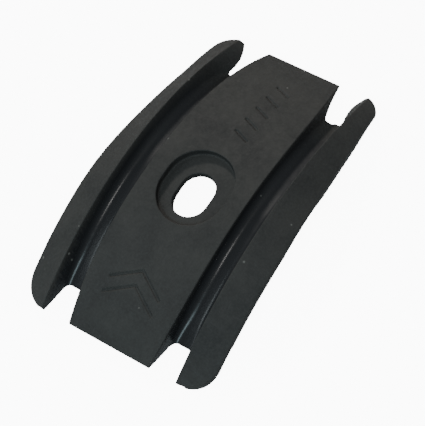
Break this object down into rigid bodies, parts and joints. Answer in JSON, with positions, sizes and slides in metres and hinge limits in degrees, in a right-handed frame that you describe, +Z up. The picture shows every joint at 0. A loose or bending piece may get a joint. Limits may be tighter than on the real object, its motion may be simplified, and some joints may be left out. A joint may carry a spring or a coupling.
{
  "type": "bicycle cable guide",
  "caption": "Arched one-piece plastic guide that screws under a bicycle's bottom-bracket shell and leads bare gear cables round it in open side channels.",
  "frame": {"origin": "under the middle of the part's length and width, level with the lowest points of its wings", "axes": "+X along the cables towards the narrower end, +Y across the cables, +Z up out of the channels, away from the bottom-bracket shell"},
  "size_m": [0.052, 0.033, 0.0085],
  "materials": {
    "black_plastic": "fine spark-eroded texture on the block and wings, smoother in the channels"
  },
  "bodies": {
    "root": {"cable_guide": "black_plastic"}
  },
  "joints": []
}
